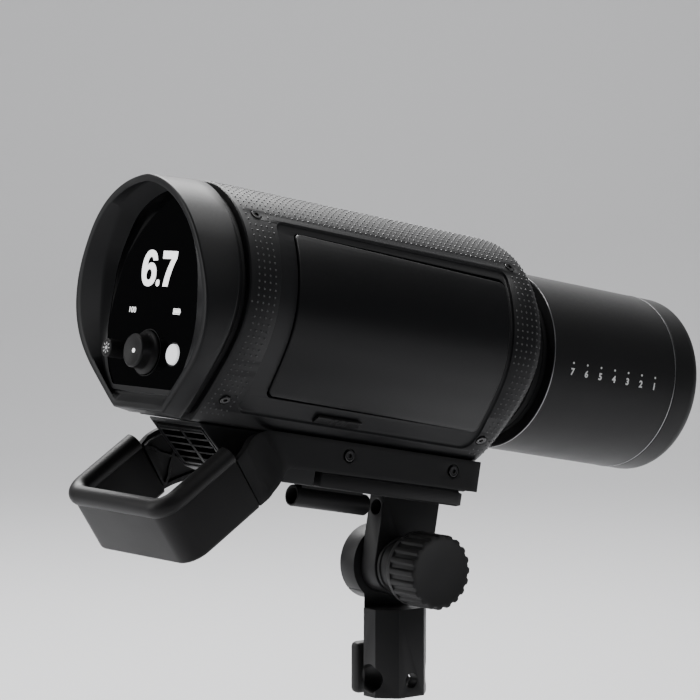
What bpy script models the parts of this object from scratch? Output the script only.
"""Battery monolight strobe with a rear hand grip, on a tilting stand adapter.

Lengths are in metres. World frame: the origin is the centre of the stand socket's mouth,
+Z is up along the stand, +X is the way the lamp points and +Y is its left. The strobe's own
pieces are placed in a lamp frame: X runs along the lamp's axis from its rear rim, and the
whole frame is tipped front down about the tilt pivot.
"""

import math

import bmesh
import bpy
from mathutils import Matrix, Vector

GAP = 0.0003

# Stand adapter, in the world frame
SOCKET_SIZE = (0.0360, 0.0288, 0.0486)
SOCKET_CHAMFER = 0.0093
STUD_BORE_RADIUS = 0.0081
STUD_BORE_DEPTH = 0.0360
CROSS_BORE_Z = 0.0102
CLAMP_AXIS_Z = 0.0090
PIVOT = Vector((-0.0028, 0.0, 0.0722))
EAR_RADIUS = 0.02075
EAR_Y = (0.0070, 0.0190)
BOLT_RADIUS = 0.0038
KNOB_RADIUS = 0.0204
KNOB_Y = (-0.0190, -0.0430)
KNOB_FLUTES = 20

# Lamp frame
TILT = math.radians(10.4)
PIVOT_IN_LAMP = Vector((0.1860, 0.0, -0.1210))

# Lamp body: (angle above the side in degrees, radius) down one flank, to the flat underside
BODY_OUTLINE = (
    (90, 0.0640), (60, 0.0640), (30, 0.0640), (5, 0.0638), (-11, 0.0620),
    (-22, 0.0600), (-38, 0.0586), (-50, 0.0596), (-60, 0.0616), (-69, 0.0643),
)
BODY_X = (0.0230, 0.2210)
BODY_WALL = 0.0040
SHOULDER = 0.0100
NECK_HOLE_RADIUS = 0.0465
BODY_SCREWS = ((0.0305, 48.5), (0.2040, 48.5), (0.0320, -52.0), (0.2060, -52.0))
RIM_OUTLINE = (
    (90, 0.0620), (60, 0.0598), (30, 0.0578), (5, 0.0572), (-11, 0.0572),
    (-22, 0.0572), (-38, 0.0572), (-50, 0.0580), (-60, 0.0598), (-69, 0.0625),
)
WINDOW_OUTLINE = (
    (90, 0.0560), (60, 0.0500), (42, 0.0444), (20, 0.0405), (3, 0.0390),
    (-12, 0.0400), (-26, 0.0432), (-38, 0.0466), (-50, 0.0510), (-60, 0.0540),
)
RIM_X, RIM_RAKE = -0.0025, -0.125
GLASS_X = (0.0055, 0.0080)

# Head
HEAD_RADIUS = 0.0500
HEAD_X = (0.2390, 0.3330)
FRONT_RING_END_X = 0.3550

# Battery, which slides out to the lamp's right
BATTERY_X = (0.0550, 0.2000)
BATTERY_ANGLES = (39, -48)
BATTERY_INNER_Y = -0.0300
BATTERY_WALL = 0.0030
RECESS_X = (0.0430, 0.2015)
RECESS_ANGLES = (45, -61)
RECESS_DEPTH = 0.0022

# Keel, rail and hand grip
KEEL_HALF_WIDTH = 0.0235
KEEL_TOP_Z = -0.0604
KEEL_BOTTOM_Z = -0.0848
KEEL_STEP = (0.1070, -0.0764)
KEEL_FRONT_X = 0.2120
GRILLE_TOP = (0.0276, -0.0604)
GRILLE_FOOT = (0.0550, -0.0835)
BAR_X = (0.1103, 0.2075)
BAR_HALF_WIDTH = 0.0240
FRAME_HALF_WIDTH = 0.0280
FRAME_WALL = 0.0036
FRAME_SCREWS_X = (0.1240, 0.1970)
FRAME_SCREW_Z = -0.0661
GRIP_HALF_WIDTH = 0.0460
GRIP_SEAM = Vector((0.0380, 0.0, -0.0776))
GRIP_TURN = math.radians(136.95)
GRIP_REACH = 0.0505
GRIP_BAND = 0.0290
GRIP_WALL = 0.0070
GRIP_CORNER = 0.0150
ROLL_RADIUS = 0.0052
UMBRELLA_Z = -0.0911
UMBRELLA_RADII = (0.0058, 0.0042)

# Controls on the rear glass: (Y, Z) of each
DIAL_AT = (0.0, -0.0287)
LIGHT_BUTTON_AT = (0.0236, -0.0287)
TEST_BUTTON_AT = (-0.0234, -0.0284)

RING_POINTS = 44
FLAT_POINTS = 5

# ---------------------------------------------------------------- scene and materials

for old in list(bpy.data.objects):
    bpy.data.objects.remove(old, do_unlink=True)

PARTS = bpy.data.collections.new("monolight_strobe")
CUTTERS = bpy.data.collections.new("cutters")
for collection in (PARTS, CUTTERS):
    bpy.context.scene.collection.children.link(collection)
CUTTERS.hide_render = True

LAMP = bpy.data.objects.new("lamp_frame", None)
PARTS.objects.link(LAMP)
LAMP.rotation_euler = (0.0, TILT, 0.0)
LAMP.location = PIVOT - Matrix.Rotation(TILT, 3, "Y") @ PIVOT_IN_LAMP

GRIP = bpy.data.objects.new("grip_frame", None)
PARTS.objects.link(GRIP)
GRIP.parent = LAMP
GRIP.location = GRIP_SEAM
GRIP.rotation_euler = (0.0, GRIP_TURN, 0.0)


def material(name, colour, roughness, metallic=0.0):
    made = bpy.data.materials.new(name)
    made.use_nodes = True
    shader = made.node_tree.nodes["Principled BSDF"]
    shader.inputs["Base Color"].default_value = (*colour, 1.0)
    shader.inputs["Roughness"].default_value = roughness
    shader.inputs["Metallic"].default_value = metallic
    return made


CASING = material("casing_plastic", (0.030, 0.030, 0.032), 0.55)
GRIP_RUBBER = material("grip_rubber", (0.024, 0.024, 0.025), 0.60)
ALLOY = material("black_alloy", (0.035, 0.035, 0.037), 0.45, 0.6)
STEEL = material("steel", (0.55, 0.55, 0.57), 0.35, 1.0)
BLACK_STEEL = material("black_steel", (0.05, 0.05, 0.05), 0.35, 1.0)
GLASS_BLACK = material("smoked_glass", (0.004, 0.004, 0.005), 0.06)
CLEAR = material("clear_glass", (0.85, 0.87, 0.88), 0.04)
MIRROR = material("bright_reflector", (0.80, 0.80, 0.82), 0.18, 1.0)
LIT = material("lit_white", (0.90, 0.90, 0.90), 0.40)
BOARD = material("circuit_board", (0.02, 0.12, 0.06), 0.50)
SLEEVE = material("capacitor_sleeve", (0.03, 0.04, 0.10), 0.40)
CORE = material("ferrite", (0.08, 0.07, 0.07), 0.70)
CELL = material("cell_wrap", (0.10, 0.28, 0.12), 0.45)


# ---------------------------------------------------------------- making shapes

def add(name, mesh, finish, parent=None, at=(0, 0, 0), collection=PARTS):
    """A new object from a mesh, placed in its parent's frame."""
    made = bpy.data.objects.new(name, mesh)
    collection.objects.link(made)
    made.location = at
    made.parent = parent
    if finish:
        mesh.materials.append(finish)
    if collection is CUTTERS:
        made.hide_render = True
        made.display_type = "WIRE"
    return made


def mesh_of(bm, name, smooth=True):
    bmesh.ops.recalc_face_normals(bm, faces=bm.faces)
    mesh = bpy.data.meshes.new(name)
    bm.to_mesh(mesh)
    bm.free()
    if smooth:
        mesh.shade_smooth()
        mesh.set_sharp_from_angle(angle=math.radians(35))
    return mesh


def box(name, low, high, finish=None, parent=None, bevel=0.0, collection=PARTS):
    """A box between two corners, with its edges rounded if asked."""
    low, high = Vector(low), Vector(high)
    bm = bmesh.new()
    bmesh.ops.create_cube(bm, size=1.0)
    bmesh.ops.scale(bm, vec=high - low, verts=bm.verts)
    made = add(name, mesh_of(bm, name, False), finish, parent, (low + high) / 2, collection)
    if bevel:
        rounding = made.modifiers.new("round", "BEVEL")
        rounding.width = bevel
        rounding.segments = 2
    return made


AXIS_TURN = {
    "X": Matrix.Rotation(math.pi / 2, 4, "Y"),
    "Y": Matrix.Rotation(-math.pi / 2, 4, "X"),
    "Z": Matrix.Identity(4),
}


def rod(name, radius, start, end, axis, finish=None, parent=None, at=(0, 0, 0),
        sides=24, radius_end=None, collection=PARTS):
    """A cylinder or cone along an axis, from start to end on it, through the point at."""
    bm = bmesh.new()
    bmesh.ops.create_cone(bm, cap_ends=True, segments=sides, radius1=radius,
                          radius2=radius if radius_end is None else radius_end,
                          depth=end - start,
                          matrix=AXIS_TURN[axis] @ Matrix.Translation((0, 0, (start + end) / 2)))
    return add(name, mesh_of(bm, name), finish, parent, at, collection)


def turned(name, profile, axis, finish=None, parent=None, at=(0, 0, 0), sides=32,
           closed=False, collection=PARTS):
    """A profile of (radius, height) points spun round an axis; closed makes a ring of it."""
    mesh = bpy.data.meshes.new(name)
    points = [(radius, 0.0, height) for radius, height in profile]
    edges = [(i, i + 1) for i in range(len(points) - 1)]
    if closed:
        edges.append((len(points) - 1, 0))
    mesh.from_pydata(points, edges, [])
    made = add(name, mesh, finish, parent, at, collection)
    made.matrix_basis = Matrix.Translation(at) @ AXIS_TURN[axis]
    spin = made.modifiers.new("spin", "SCREW")
    spin.steps = sides
    spin.render_steps = sides
    spin.use_merge_vertices = True
    spin.merge_threshold = 0.00001
    spin.use_smooth_shade = True
    return made


def tube(name, outer, inner, start, end, axis, finish=None, parent=None, at=(0, 0, 0),
         sides=32, edge=0.0):
    """A plain tube with its outer end edges broken."""
    profile = [(outer - edge, end), (outer, end - edge), (outer, start + edge),
               (outer - edge, start), (inner, start), (inner, end)]
    return turned(name, profile, axis, finish, parent, at, sides, closed=True)


def slab(name, outline, thickness, axis, finish=None, parent=None, at=(0, 0, 0), collection=PARTS):
    """A flat outline given thickness both ways: along Z from (x, y), or along Y from (x, z)."""
    bm = bmesh.new()
    corners = [bm.verts.new((u, v, 0.0) if axis == "Z" else (u, 0.0, v)) for u, v in outline]
    face = bm.faces.new(corners)
    along = Vector((0, 0, thickness)) if axis == "Z" else Vector((0, thickness, 0))
    pushed = bmesh.ops.extrude_face_region(bm, geom=[face])
    new_points = [g for g in pushed["geom"] if isinstance(g, bmesh.types.BMVert)]
    bmesh.ops.translate(bm, vec=along, verts=new_points)
    bmesh.ops.translate(bm, vec=-along / 2, verts=bm.verts)
    return add(name, mesh_of(bm, name), finish, parent, at, collection)


def arc(centre, radius, start, end, steps):
    """Points on a round stretch of an outline, between two angles in degrees."""
    turns = [math.radians(start + (end - start) * i / steps) for i in range(steps + 1)]
    return [(centre[0] + radius * math.cos(t), centre[1] + radius * math.sin(t)) for t in turns]


def boolean(target, tool, operation="DIFFERENCE"):
    change = target.modifiers.new(operation.lower(), "BOOLEAN")
    change.operation = operation
    change.object = tool
    change.solver = "EXACT"
    return target


def ease(table, angle):
    """The value at an angle in a table of (angle, value), on a smooth curve through it."""
    rows = sorted(table)
    for i in range(len(rows) - 1):
        if angle <= rows[i + 1][0] or i == len(rows) - 2:
            break
    before, after = max(i - 1, 0), min(i + 2, len(rows) - 1)
    (a0, v0), (a1, v1) = rows[i], rows[i + 1]
    slope0 = (v1 - rows[before][1]) / (a1 - rows[before][0])
    slope1 = (rows[after][1] - v0) / (rows[after][0] - a0)
    t = (angle - a0) / (a1 - a0)
    span = a1 - a0
    return ((2 * t ** 3 - 3 * t ** 2 + 1) * v0 + (t ** 3 - 2 * t ** 2 + t) * span * slope0
            + (3 * t ** 2 - 2 * t ** 3) * v1 + (t ** 3 - t ** 2) * span * slope1)


def ring(outline, plane, inset=0.0):
    """Points once round an outline, on the plane x = plane[0] + plane[1] * z."""
    foot = min(angle for angle, _ in outline)
    points = []
    for i in range(RING_POINTS + 1):
        angle = foot + (180 - 2 * foot) * i / RING_POINTS
        flank = angle if angle <= 90 else 180 - angle
        radius = ease(outline, flank) - inset
        turn = math.radians(angle)
        points.append((-radius * math.cos(turn), radius * math.sin(turn)))
    first, last = points[0], points[-1]
    for i in range(1, FLAT_POINTS):
        share = i / FLAT_POINTS
        points.append((last[0] + (first[0] - last[0]) * share, last[1]))
    return [Vector((plane[0] + plane[1] * z, y, z)) for y, z in points]


def loft(name, rings, finish=None, parent=None, closed=False, collection=PARTS):
    """A skin over rings of equally many points; closed joins the last ring to the first."""
    bm = bmesh.new()
    rows = [[bm.verts.new(point) for point in points] for points in rings]
    pairs = list(zip(rows, rows[1:]))
    if closed:
        pairs.append((rows[-1], rows[0]))
    count = len(rows[0])
    for one, two in pairs:
        for i in range(count):
            j = (i + 1) % count
            bm.faces.new((one[i], one[j], two[j], two[i]))
    if not closed:
        bm.faces.new(rows[0])
        bm.faces.new(list(reversed(rows[-1])))
    return add(name, mesh_of(bm, name), finish, parent, collection=collection)


def flank_outline(outline, high, low, inner_y, inset=0.0, steps=12):
    """(y, z) round a block whose outside follows the right flank between two angles."""
    points = []
    for i in range(steps + 1):
        angle = high + (low - high) * i / steps
        radius = ease(outline, angle) - inset
        turn = math.radians(angle)
        points.append((-radius * math.cos(turn), radius * math.sin(turn)))
    return points + [(inner_y, points[-1][1]), (inner_y, points[0][1])]


def along_x(name, outline, start, end, finish=None, parent=None, collection=PARTS):
    """A block with a (y, z) outline, from start to end along X."""
    rings = [[Vector((x, y, z)) for y, z in outline] for x in (start, end)]
    return loft(name, rings, finish, parent, collection=collection)


# ---------------------------------------------------------------- stand adapter

def stand_socket():
    """The socket that drops on a stand's stud, and the ear that the lamp tilts against."""
    sx, sy, height = (SOCKET_SIZE[0] / 2, SOCKET_SIZE[1] / 2, SOCKET_SIZE[2])
    c = SOCKET_CHAMFER
    outline = [(sx - c, -sy), (sx, -sy + c), (sx, sy - c), (sx - c, sy),
               (c - sx, sy), (-sx, sy - c), (-sx, c - sy), (c - sx, -sy)]
    socket = slab("stand_socket", outline, height, "Z", ALLOY, at=(0, 0, height / 2))
    ear_neck_x = 0.0170
    neck = box("ear_neck", (-ear_neck_x, EAR_Y[0], height - 0.004),
               (ear_neck_x, SOCKET_SIZE[1] / 2 - 0.0005, PIVOT.z - 0.008), collection=CUTTERS)
    ear = rod("ear_disc", EAR_RADIUS, EAR_Y[0], EAR_Y[1], "Y", at=PIVOT, sides=40, collection=CUTTERS)
    boolean(socket, neck, "UNION")
    boolean(socket, ear, "UNION")
    stud = rod("stud_bore", STUD_BORE_RADIUS, -0.002, STUD_BORE_DEPTH, "Z", collection=CUTTERS)
    cross = rod("cross_bore", STUD_BORE_RADIUS, -0.03, 0.03, "X", at=(0, 0, CROSS_BORE_Z),
                sides=28, collection=CUTTERS)
    screw = rod("clamp_hole", 0.0042, -0.03, 0.03, "Y", at=(0, 0, CLAMP_AXIS_Z), sides=20,
                collection=CUTTERS)
    bolt = rod("ear_hole", BOLT_RADIUS + GAP, 0.0, 0.03, "Y", at=PIVOT, sides=20, collection=CUTTERS)
    for tool in (stud, cross, screw, bolt):
        boolean(socket, tool)


def tilt_joint():
    """The bolt through the joint, its washer and collar, and the knob that clamps it."""
    head_y = EAR_Y[1] + GAP
    profile = [(0.0, head_y + 0.004), (0.0060, head_y + 0.004), (0.0065, head_y + 0.0035),
               (0.0065, head_y), (BOLT_RADIUS, head_y), (BOLT_RADIUS, -0.0340), (0.0, -0.0340)]
    turned("tilt_bolt", profile, "Y", BLACK_STEEL, at=PIVOT, sides=24)
    tube("friction_washer", 0.0140, BOLT_RADIUS + GAP, 0.0063 + GAP, EAR_Y[0] - GAP, "Y",
         BLACK_STEEL, at=PIVOT)
    tube("clamp_collar", 0.0155, BOLT_RADIUS + GAP, KNOB_Y[0] + GAP, -0.0063 - GAP, "Y",
         ALLOY, at=PIVOT, edge=0.0008)

    face, back = KNOB_Y[1], KNOB_Y[0]
    outline = [(0.0, back), (0.0188, back), (KNOB_RADIUS, back - 0.0015),
               (KNOB_RADIUS, face + 0.0012), (KNOB_RADIUS - 0.0012, face), (0.0, face)]
    knob = turned("tilt_knob", outline, "Y", GRIP_RUBBER, at=PIVOT, sides=60)
    bm = bmesh.new()
    for i in range(KNOB_FLUTES):
        slot = bmesh.ops.create_cube(bm, size=1.0)["verts"]
        bmesh.ops.scale(bm, vec=(0.0030, 0.0200, 0.0030), verts=slot)
        bmesh.ops.translate(bm, vec=(0, face + 0.0090, KNOB_RADIUS + 0.0004), verts=slot)
        bmesh.ops.rotate(bm, matrix=Matrix.Rotation(math.tau * i / KNOB_FLUTES, 3, "Y"), verts=slot)
    boolean(knob, add("knob_flutes", mesh_of(bm, "knob_flutes", False), None, at=PIVOT,
                      collection=CUTTERS))
    boolean(knob, rod("knob_bore", 0.0070 + GAP, -0.0370, back + 0.004, "Y", at=PIVOT,
                      sides=24, collection=CUTTERS))
    tube("knob_insert", 0.0070, BOLT_RADIUS + GAP, -0.0365, back - 0.0005, "Y", STEEL,
         at=PIVOT, sides=24)


def stud_clamp():
    """The screw that bears on the stud, and its paddle lever, on the lamp's left."""
    axis_at = (0, 0, CLAMP_AXIS_Z)
    rod("clamp_screw", 0.0038, 0.0087, 0.0235, "Y", BLACK_STEEL, at=axis_at, sides=20)
    lever = box("clamp_lever", (-0.0098, 0.0207, -0.0025), (0.0098, 0.0285, 0.0265), GRIP_RUBBER,
                bevel=0.0028)
    boss = rod("lever_boss", 0.0068, SOCKET_SIZE[1] / 2 + 0.0006, 0.0230, "Y", at=axis_at,
               collection=CUTTERS)
    bore = rod("lever_bore", 0.0041, 0.0, 0.0240, "Y", at=axis_at, sides=20, collection=CUTTERS)
    boolean(lever, boss, "UNION")
    boolean(lever, bore)


# ---------------------------------------------------------------- rail, keel and handle

def tilt_arm():
    """The flat arm that hangs from the rail and turns between the ear and the knob."""
    half = 0.0063
    rear_x, front_x, top_z = 0.1695, 0.2090, KEEL_BOTTOM_Z - 0.0004
    px, pz = PIVOT_IN_LAMP.x, PIVOT_IN_LAMP.z
    foot_radius = px - rear_x
    outline = [(rear_x, top_z), (rear_x, pz)]
    outline += arc((px, pz), foot_radius, 180, 330, 12)[1:]
    outline += [(front_x, pz + 0.0140), (front_x, top_z)]
    arm = slab("tilt_arm", outline, 2 * half, "Y", ALLOY, LAMP)
    pivot_hole = rod("arm_hole", BOLT_RADIUS + GAP, -0.02, 0.02, "Y", parent=LAMP,
                     at=PIVOT_IN_LAMP, sides=20, collection=CUTTERS)
    shaft_hole = rod("arm_shaft_hole", UMBRELLA_RADII[1], rear_x - 0.01, front_x + 0.01, "X",
                     parent=LAMP, at=(0, 0, UMBRELLA_Z), sides=20, collection=CUTTERS)
    boolean(arm, pivot_hole)
    boolean(arm, shaft_hole)


def rail():
    """The bar that the arm hangs from, and the tube that takes an umbrella's shaft."""
    box("base_bar", (BAR_X[0], -BAR_HALF_WIDTH, KEEL_BOTTOM_Z),
        (BAR_X[1], BAR_HALF_WIDTH, KEEL_STEP[1] - 0.0004), ALLOY, LAMP, bevel=0.0008)
    tube("umbrella_tube", *UMBRELLA_RADII, 0.1110, 0.1595, "X", ALLOY, LAMP,
         at=(0, 0, UMBRELLA_Z), sides=24, edge=0.0006)


def keel():
    """The duct under the body, open to the rear through its louvred grille."""
    wall = 0.0025
    (gx, gz), (fx, fz) = GRILLE_TOP, GRILLE_FOOT
    step_x, step_z = KEEL_STEP
    outline = [(gx, gz), (fx, fz), (fx + 0.006, KEEL_BOTTOM_Z), (step_x, KEEL_BOTTOM_Z),
               (step_x, step_z), (KEEL_FRONT_X, step_z), (KEEL_FRONT_X, KEEL_TOP_Z)]
    housing = slab("keel_duct", outline, 2 * KEEL_HALF_WIDTH, "Y", CASING, LAMP)
    slope = math.atan2(gz - fz, fx - gx)
    down = Vector((math.cos(slope), -math.sin(slope)))
    out = Vector((-math.sin(slope), -math.cos(slope)))
    upper = Vector((gx, gz)) + down * 0.0055
    lower = Vector((fx, fz)) - down * 0.0018
    roof_z = KEEL_TOP_Z - 0.0012
    inside = [upper - down * 0.0020 + out * 0.010, lower + out * 0.010, lower,
              (fx + 0.005, KEEL_BOTTOM_Z + wall), (step_x - wall, KEEL_BOTTOM_Z + wall),
              (step_x - wall, step_z + wall), (KEEL_FRONT_X - wall, step_z + wall),
              (KEEL_FRONT_X - wall, roof_z), (gx + 0.0050, roof_z)]
    boolean(housing, slab("keel_hollow", inside, 2 * (KEEL_HALF_WIDTH - wall), "Y", parent=LAMP,
                          collection=CUTTERS))

    thick = 0.0024
    length = (lower - upper).length - 2 * GAP
    centre = (upper + lower) / 2 - out * (thick / 2)
    middle = (centre.x, 0.0, centre.y)
    half_width = KEEL_HALF_WIDTH - wall - GAP
    panel = box("vent_grille", (-length / 2, -half_width, -thick / 2),
                (length / 2, half_width, thick / 2), CASING, LAMP)
    panel.location = middle
    panel.rotation_euler = (0.0, slope, 0.0)
    bm = bmesh.new()
    rows = 7
    pitch = (length - 0.003) / rows
    for side in (-1, 1):
        for i in range(rows):
            slot = bmesh.ops.create_cube(bm, size=1.0)["verts"]
            bmesh.ops.scale(bm, vec=(pitch * 0.62, half_width - 0.0030, 0.006), verts=slot)
            where = ((i - (rows - 1) / 2) * pitch, side * half_width / 2, 0)
            bmesh.ops.translate(bm, vec=where, verts=slot)
    slots = add("grille_slots", mesh_of(bm, "grille_slots", False), None, LAMP, middle, CUTTERS)
    slots.rotation_euler = panel.rotation_euler
    boolean(panel, slots)


def side_frames():
    """The two side plates of the rail, which sweep back and out to the hand grip."""
    top = [(0.2160, -0.0565, 0.0), (0.1500, -0.0575, 0.0), (0.1000, -0.0580, 0.0),
           (0.0670, -0.0580, 0.0), (0.0575, -0.0630, 0.30), (0.0490, -0.0695, 0.80),
           (0.0440, -0.0732, 0.98), (0.0388, -0.0772, 1.0)]
    bottom = [(0.2160, -0.0752), (0.1500, -0.0757), (0.1100, -0.0760), (0.0900, -0.0762),
              (0.0800, -0.0832), (0.0700, -0.0900), (0.0650, -0.0935), (0.0590, -0.0962)]
    rows = 3
    rings = [ring(BODY_OUTLINE, (x, 0.0), -0.0007) for x in (BODY_X[0] - 0.002, BODY_X[1] + 0.002)]
    clearance = loft("body_clearance", rings, parent=LAMP, collection=CUTTERS)
    for name, side in (("side_frame_left", 1), ("side_frame_right", -1)):
        bm = bmesh.new()
        grid = []
        for (tx, tz, flare), (bx, bz) in zip(top, bottom):
            y = FRAME_HALF_WIDTH + (GRIP_HALF_WIDTH - FRAME_HALF_WIDTH) * flare
            column = []
            for j in range(rows + 1):
                share = j / rows
                column.append(bm.verts.new((tx + (bx - tx) * share, side * y, tz + (bz - tz) * share)))
            grid.append(column)
        for one, two in zip(grid, grid[1:]):
            for j in range(rows):
                face = (one[j], two[j], two[j + 1], one[j + 1])
                bm.faces.new(face if side > 0 else tuple(reversed(face)))
        mesh = bpy.data.meshes.new(name)
        bm.to_mesh(mesh)
        bm.free()
        mesh.shade_smooth()
        frame = add(name, mesh, ALLOY, LAMP)
        wall = frame.modifiers.new("wall", "SOLIDIFY")
        wall.thickness = FRAME_WALL
        wall.offset = 1.0
        wall.use_even_offset = True
        boolean(frame, clearance)
        for i, x in enumerate(FRAME_SCREWS_X):
            hole = rod(f"{name}_hole_{i}", 0.0022, -0.01, 0.01, "Y", parent=LAMP,
                       at=(x, side * FRAME_HALF_WIDTH, FRAME_SCREW_Z), sides=16, collection=CUTTERS)
            boolean(frame, hole)


def frame_screws():
    """Button-head screws that hold each side plate to the keel."""
    head_base = FRAME_HALF_WIDTH + GAP
    shank_end = KEEL_HALF_WIDTH + GAP
    number = 0
    for side in (1, -1):
        for x in FRAME_SCREWS_X:
            number += 1
            profile = [(0.0, head_base + 0.0012), (0.0026, head_base + 0.0012),
                       (0.0032, head_base), (0.0018, head_base), (0.0018, shank_end),
                       (0.0, shank_end)]
            screw = turned(f"frame_screw_{number}", profile, "Y", BLACK_STEEL, LAMP,
                           (x, 0, FRAME_SCREW_Z), sides=16)
            if side < 0:
                screw.matrix_basis = (Matrix.Translation((x, 0, FRAME_SCREW_Z))
                                      @ Matrix.Rotation(math.pi / 2, 4, "X"))


def grip_loop():
    """The hand grip: a band bent to a U, with a thick roll along its upper edge."""
    half, reach, corner = GRIP_HALF_WIDTH, GRIP_REACH, GRIP_CORNER
    inner, tight = half - GRIP_WALL, corner - GRIP_WALL
    start = GAP
    outline = [(start, -half)]
    outline += arc((reach - corner, corner - half), corner, -90, 0, 6)
    outline += arc((reach - corner, half - corner), corner, 0, 90, 6)
    outline += [(start, half), (start, inner)]
    outline += arc((reach - corner, half - corner), tight, 90, 0, 6)
    outline += arc((reach - corner, corner - half), tight, 0, -90, 6)
    outline += [(start, -inner)]
    band = slab("grip_loop", outline, GRIP_BAND, "Z", GRIP_RUBBER, GRIP, (0, 0, GRIP_BAND / 2))

    middle, bend = half - GRIP_WALL / 2, corner - GRIP_WALL / 2
    path = [(start, -middle)]
    path += arc((reach - corner, corner - half), bend, -90, 0, 6)
    path += arc((reach - corner, half - corner), bend, 0, 90, 6)
    path += [(start, middle)]
    curve = bpy.data.curves.new("roll_path", "CURVE")
    curve.dimensions = "3D"
    curve.bevel_depth = ROLL_RADIUS
    curve.bevel_resolution = 3
    curve.use_fill_caps = True
    spline = curve.splines.new("POLY")
    spline.points.add(len(path) - 1)
    for point, (x, y) in zip(spline.points, path):
        point.co = (x, y, 0.0, 1.0)
    wire = bpy.data.objects.new("roll_wire", curve)
    CUTTERS.objects.link(wire)
    bpy.context.view_layer.update()
    mesh = bpy.data.meshes.new_from_object(wire.evaluated_get(bpy.context.evaluated_depsgraph_get()))
    bpy.data.objects.remove(wire)
    bm = bmesh.new()
    bm.from_mesh(mesh)
    bmesh.ops.remove_doubles(bm, verts=bm.verts, dist=0.00001)
    roll = add("grip_roll", mesh_of(bm, "grip_roll"), None, GRIP, (0, 0, -0.0042), CUTTERS)
    boolean(band, roll, "UNION")


# ---------------------------------------------------------------- lamp body

def body_shell():
    """The main casing: a tube with a flat underside, a battery bay and a neck opening."""
    start, end = BODY_X
    rings = [ring(BODY_OUTLINE, (start, 0.0))]
    steps = 4
    for i in range(steps + 1):
        turn = math.radians(90 * i / steps)
        rings.append(ring(BODY_OUTLINE, (end - SHOULDER + SHOULDER * math.sin(turn), 0.0),
                          SHOULDER * (1 - math.cos(turn))))

    def hole_ring(x):
        points = []
        for point in ring(BODY_OUTLINE, (x, 0.0)):
            flat = Vector((point.y, point.z)).normalized() * NECK_HOLE_RADIUS
            points.append(Vector((x, flat.x, flat.y)))
        return points

    rings += [hole_ring(end), hole_ring(end - BODY_WALL)]
    rings.append(ring(BODY_OUTLINE, (end - BODY_WALL - 0.006, 0.0), BODY_WALL))
    rings.append(ring(BODY_OUTLINE, (start, 0.0), BODY_WALL))
    shell = loft("body_shell", rings, CASING, LAMP, closed=True)

    outer = flank_outline(BODY_OUTLINE, *RECESS_ANGLES, 0.0, -0.004)
    floor = flank_outline(BODY_OUTLINE, *RECESS_ANGLES, 0.0040, RECESS_DEPTH)
    below, above = floor[-2], floor[-1]
    core = floor[:-2] + [(below[0], below[1] * 1.2), (above[0], above[1] * 1.2)]
    scoop = along_x("recess", outer, *RECESS_X, parent=LAMP, collection=CUTTERS)
    boolean(scoop, along_x("recess_core", core, RECESS_X[0] - 0.01, RECESS_X[1] + 0.01,
                           parent=LAMP, collection=CUTTERS))
    boolean(shell, scoop)
    clear = 0.0006
    mouth = flank_outline(BODY_OUTLINE, BATTERY_ANGLES[0] + 0.6, BATTERY_ANGLES[1] - 0.6,
                          -0.0200, -0.006)
    boolean(shell, along_x("battery_mouth", mouth, BATTERY_X[0] - clear, BATTERY_X[1] + clear,
                           parent=LAMP, collection=CUTTERS))
    duct = box("duct_mouth", (0.0700, -0.0180, -0.0700), (0.1900, 0.0180, -0.0500),
               parent=LAMP, collection=CUTTERS)
    boolean(shell, duct)
    for x, angle in BODY_SCREWS:
        for side in (1, -1):
            hole = rod(f"body_hole_{x}_{angle}_{side}", 0.0021, 0.050, 0.075, "Z", parent=LAMP,
                       at=(x, 0, 0), sides=14, collection=CUTTERS)
            hole.rotation_euler = (screw_turn(angle, side), 0.0, 0.0)
            boolean(shell, hole)


def screw_turn(angle, side):
    """The turn about X that points +Z out of the right (-1) or left (1) flank at an angle."""
    return -side * math.radians(90 - angle)


def body_screws():
    number = 0
    for side in (-1, 1):
        for x, angle in BODY_SCREWS:
            number += 1
            seat = ease(BODY_OUTLINE, angle) + (GAP if angle > 0 else 0.0010)
            profile = [(0.0, seat + 0.0010), (0.0024, seat + 0.0010), (0.0030, seat),
                       (0.0017, seat), (0.0017, seat - BODY_WALL + 0.0002),
                       (0.0, seat - BODY_WALL + 0.0002)]
            screw = turned(f"body_screw_{number}", profile, "Z", BLACK_STEEL, LAMP, (x, 0, 0), sides=14)
            screw.rotation_euler = (screw_turn(angle, side), 0.0, 0.0)


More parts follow.
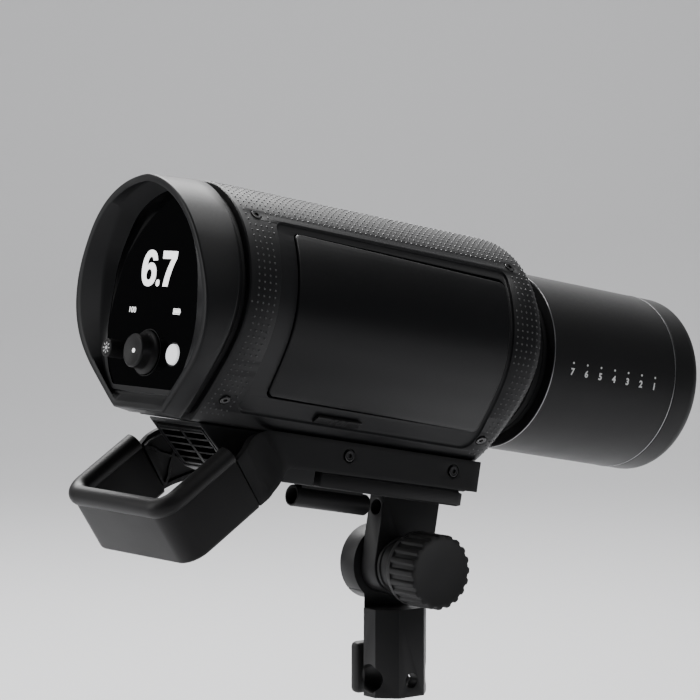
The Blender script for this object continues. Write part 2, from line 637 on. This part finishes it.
def rear_hood():
    """The raked hood round the display, with a funnel down to the glass."""
    crest = (RIM_X, RIM_RAKE)
    brow = (RIM_X + 0.0030, RIM_RAKE)
    funnel = (0.0006, RIM_RAKE * 0.9)
    front = 0.0192
    pocket = -0.0024
    rings = [
        ring(BODY_OUTLINE, (front, 0.0), 0.0005),
        ring(BODY_OUTLINE, (0.0135, RIM_RAKE * 0.25), 0.0016),
        ring(RIM_OUTLINE, brow),
        ring(RIM_OUTLINE, (RIM_X + 0.0010, RIM_RAKE), 0.0010),
        ring(RIM_OUTLINE, crest, 0.0034),
        ring(WINDOW_OUTLINE, funnel, -0.0042),
        ring(WINDOW_OUTLINE, (GLASS_X[0] - GAP, 0.0)),
        ring(WINDOW_OUTLINE, (GLASS_X[0] - GAP, 0.0), pocket),
        ring(WINDOW_OUTLINE, (GLASS_X[1] + 0.002, 0.0), pocket),
        ring(BODY_OUTLINE, (front - 0.004, 0.0), 0.0062),
        ring(BODY_OUTLINE, (front, 0.0), 0.0058),
    ]
    loft("rear_hood", rings, CASING, LAMP, closed=True)
    rings = [ring(BODY_OUTLINE, (x, 0.0), inset) for x, inset in
             ((front + GAP, 0.0040), (BODY_X[0] - GAP, 0.0040),
              (BODY_X[0] - GAP, 0.0075), (front + GAP, 0.0075))]
    loft("seal_ring", rings, GRIP_RUBBER, LAMP, closed=True)


def rear_panel():
    """The smoked glass, with the display and the control board behind it."""
    clear = -0.0020
    glass = loft("display_glass", [ring(WINDOW_OUTLINE, (x, 0.0), clear) for x in GLASS_X],
                 GLASS_BLACK, LAMP)
    holes = (("dial_hole", DIAL_AT, 0.0036), ("light_hole", LIGHT_BUTTON_AT, 0.0051),
             ("test_hole", TEST_BUTTON_AT, 0.0057))
    for name, (y, z), radius in holes:
        boolean(glass, rod(name, radius, -0.01, 0.02, "X", parent=LAMP, at=(0, y, z), sides=28,
                           collection=CUTTERS))
    box("display_panel", (0.0084, -0.0290, -0.0120), (0.0112, 0.0290, 0.0400), GLASS_BLACK, LAMP)
    rings = [ring(WINDOW_OUTLINE, (x, 0.0), 0.0010) for x in (0.0145, 0.0161)]
    loft("control_board", rings, BOARD, LAMP)


def controls():
    """The push-and-turn dial on its shaft, and the two push buttons."""
    y, z = DIAL_AT
    rod("dial_shaft", 0.0030, 0.0005, 0.0125, "X", STEEL, LAMP, (0, y, z), sides=20)
    profile = [(0.0, 0.0038), (0.0062, 0.0035), (0.0080, 0.0036), (0.0088, 0.0026),
               (0.0088, -0.0024), (0.0094, -0.0034), (0.0113, -0.0038), (0.0115, -0.0048),
               (0.0034, -0.0048), (0.0034, -0.0004), (0.0, -0.0004)]
    dial = turned("dial_knob", profile, "X", GRIP_RUBBER, LAMP, (0, y, z), sides=36)
    dial.matrix_basis = (Matrix.Translation((0, y, z)) @ Matrix.Rotation(-math.pi / 2, 4, "Y"))

    for name, (by, bz), radius, face, finish in (
            ("light_button", LIGHT_BUTTON_AT, 0.0047, -0.0042, GRIP_RUBBER),
            ("test_button", TEST_BUTTON_AT, 0.0053, 0.0043, LIT)):
        edge = 0.0006
        profile = [(0.0, -face), (radius - edge, -face), (radius, -face - edge),
                   (radius, -0.0084), (radius + 0.0010, -0.0084), (radius + 0.0010, -0.0100),
                   (0.0, -0.0100)]
        button = turned(name, profile, "X", finish, LAMP, (0, by, bz), sides=24)
        button.matrix_basis = (Matrix.Translation((0, by, bz))
                               @ Matrix.Rotation(-math.pi / 2, 4, "Y"))


def battery():
    """The battery pack that fills the right flank, its cells, contacts and catch."""
    start, end = BATTERY_X
    skin = flank_outline(BODY_OUTLINE, *BATTERY_ANGLES, BATTERY_INNER_Y, 0.0004)
    case = along_x("battery_case", skin, start, end, CASING, LAMP)
    high, low = BATTERY_ANGLES
    bay = flank_outline(BODY_OUTLINE, high - 5, low + 5, BATTERY_INNER_Y + 0.01, BATTERY_WALL)
    boolean(case, along_x("cell_bay", bay, start + BATTERY_WALL, end - BATTERY_WALL, parent=LAMP,
                          collection=CUTTERS))
    room = 0.0005
    cells = flank_outline(BODY_OUTLINE, high - 6, low + 6, BATTERY_INNER_Y - room,
                          BATTERY_WALL + room)
    along_x("battery_cells", cells, start + BATTERY_WALL + room, end - BATTERY_WALL - room, CELL,
            LAMP)
    box("battery_contacts", (0.1150, BATTERY_INNER_Y + 0.0006, -0.0120),
        (0.1450, BATTERY_INNER_Y + 0.0046, 0.0120), STEEL, LAMP)
    angle = -55.5
    lift = ease(BODY_OUTLINE, angle) - RECESS_DEPTH + 0.0018
    latch = box("battery_latch", (-0.0150, -0.0030, -0.0010), (0.0150, 0.0030, 0.0010), GRIP_RUBBER,
                LAMP, bevel=0.0005)
    turn = math.radians(angle)
    latch.location = (0.1080, -lift * math.cos(turn), lift * math.sin(turn))
    latch.rotation_euler = (screw_turn(angle, -1), 0.0, 0.0)


def electronics():
    """What the flash runs on: capacitors, boards, charging choke, heat sink and fan."""
    rod("capacitor_1", 0.0185, 0.070, 0.185, "X", SLEEVE, LAMP, (0, 0.0220, 0.0285))
    rod("capacitor_2", 0.0185, 0.070, 0.185, "X", SLEEVE, LAMP, (0, 0.0330, -0.0145))
    rod("capacitor_3", 0.0120, 0.070, 0.185, "X", SLEEVE, LAMP, (0, -0.0070, 0.0050))
    box("main_board", (0.0600, -0.0235, -0.0340), (0.1960, -0.0219, 0.0440), BOARD, LAMP)
    box("charging_choke", (0.0750, -0.0180, -0.0500), (0.1150, 0.0100, -0.0240), CORE, LAMP,
        bevel=0.002)
    sink = box("heat_sink", (0.1250, -0.0180, -0.0520), (0.1850, 0.0100, -0.0260), STEEL, LAMP)
    fins = 6
    bm = bmesh.new()
    for i in range(fins):
        slot = bmesh.ops.create_cube(bm, size=1.0)["verts"]
        bmesh.ops.scale(bm, vec=(0.080, 0.0024, 0.022), verts=slot)
        bmesh.ops.translate(bm, vec=(0.155, -0.0155 + 0.0046 * i, -0.0460), verts=slot)
    boolean(sink, add("fin_slots", mesh_of(bm, "fin_slots", False), None, LAMP, collection=CUTTERS))

    y = 0.0060
    frame = box("fan_frame", (0.2000, y - 0.030, -0.030), (0.2090, y + 0.030, 0.030), GRIP_RUBBER,
                LAMP, bevel=0.001)
    boolean(frame, rod("fan_mouth", 0.0280, 0.19, 0.22, "X", parent=LAMP, at=(0, y, 0),
                       collection=CUTTERS))
    rotor = rod("fan_rotor", 0.0100, -0.0040, 0.0040, "X", GRIP_RUBBER, LAMP, (0.2045, y, 0),
                sides=20)
    blades = 7
    bm = bmesh.new()
    for i in range(blades):
        blade = bmesh.ops.create_cube(bm, size=1.0)["verts"]
        bmesh.ops.scale(bm, vec=(0.0012, 0.0090, 0.0180), verts=blade)
        bmesh.ops.rotate(bm, matrix=Matrix.Rotation(math.radians(35), 3, "Z"), verts=blade)
        bmesh.ops.translate(bm, vec=(0, 0, 0.0175), verts=blade)
        bmesh.ops.rotate(bm, matrix=Matrix.Rotation(math.tau * i / blades, 3, "X"), verts=blade)
    boolean(rotor, add("fan_blades", mesh_of(bm, "fan_blades", False), None, LAMP,
                       (0.2045, y, 0), CUTTERS), "UNION")


# ---------------------------------------------------------------- head

def head():
    """The fixed head: neck, housing, front ring, reflector, tube, lamp and cover glass."""
    wall = 0.0028
    tube("neck_ring", 0.0440, 0.0405, 0.2110, HEAD_X[0] - GAP, "X", CASING, LAMP, sides=36)
    start, end = HEAD_X
    inner = HEAD_RADIUS - wall
    profile = [(HEAD_RADIUS, end), (HEAD_RADIUS, start + 0.0010), (HEAD_RADIUS - 0.0010, start),
               (0.0400, start), (0.0400, start + wall), (inner, start + wall), (inner, end)]
    turned("head_housing", profile, "X", CASING, LAMP, sides=40, closed=True)
    tip = FRONT_RING_END_X
    curve = 0.0090
    profile = [(HEAD_RADIUS - curve + curve * math.cos(t), tip - curve + curve * math.sin(t))
               for t in (math.pi / 2, math.pi / 3, math.pi / 6, 0.0)]
    profile += [(HEAD_RADIUS, end + GAP), (inner, end + GAP), (inner, tip - 0.0100),
                (HEAD_RADIUS - curve - 0.0014, tip - 0.0060)]
    turned("front_ring", profile, "X", CASING, LAMP, sides=40, closed=True)

    back, lip = 0.2900, 0.3400
    bowl = [(0.0440 - 0.028 * (i / 6) ** 1.6, lip - (lip - back) * i / 6) for i in range(7)]
    outer = [(r + 0.0012, x) for r, x in bowl]
    turned("reflector", outer + list(reversed(bowl)), "X", MIRROR, LAMP, sides=28, closed=True)
    turned("lamp_base", [(0.0, 0.2960), (0.0140, 0.2960), (0.0140, 0.2780), (0.0, 0.2780)], "X",
           LIT, LAMP, sides=28)
    ring_radius, glass_radius = 0.0185, 0.0030
    section = [(ring_radius + glass_radius * math.cos(t), 0.3060 + glass_radius * math.sin(t))
               for t in [-math.tau * i / 8 for i in range(8)]]
    turned("flash_tube", section, "X", CLEAR, LAMP, sides=24, closed=True)
    turned("modelling_light", [(0.0, 0.3020), (0.0080, 0.3000), (0.0110, 0.2964), (0.0, 0.2964)],
           "X", LIT, LAMP, sides=24)
    dome = [(0.0395 * math.cos(t), 0.3420 + 0.0085 * math.sin(t))
            for t in [math.pi / 2 * (1 - i / 5) for i in range(6)]]
    dome[0] = (0.0, dome[0][1])
    shell = dome + [(0.0395, 0.3404)] + [(r * 0.955, x - 0.0018) for r, x in reversed(dome[1:])]
    turned("cover_glass", shell + [(0.0, dome[0][1] - 0.0018)], "X", CLEAR, LAMP, sides=28)


stand_socket()
tilt_joint()
stud_clamp()
tilt_arm()
rail()
keel()
side_frames()
frame_screws()
grip_loop()
body_shell()
body_screws()
rear_hood()
rear_panel()
controls()
battery()
electronics()
head()
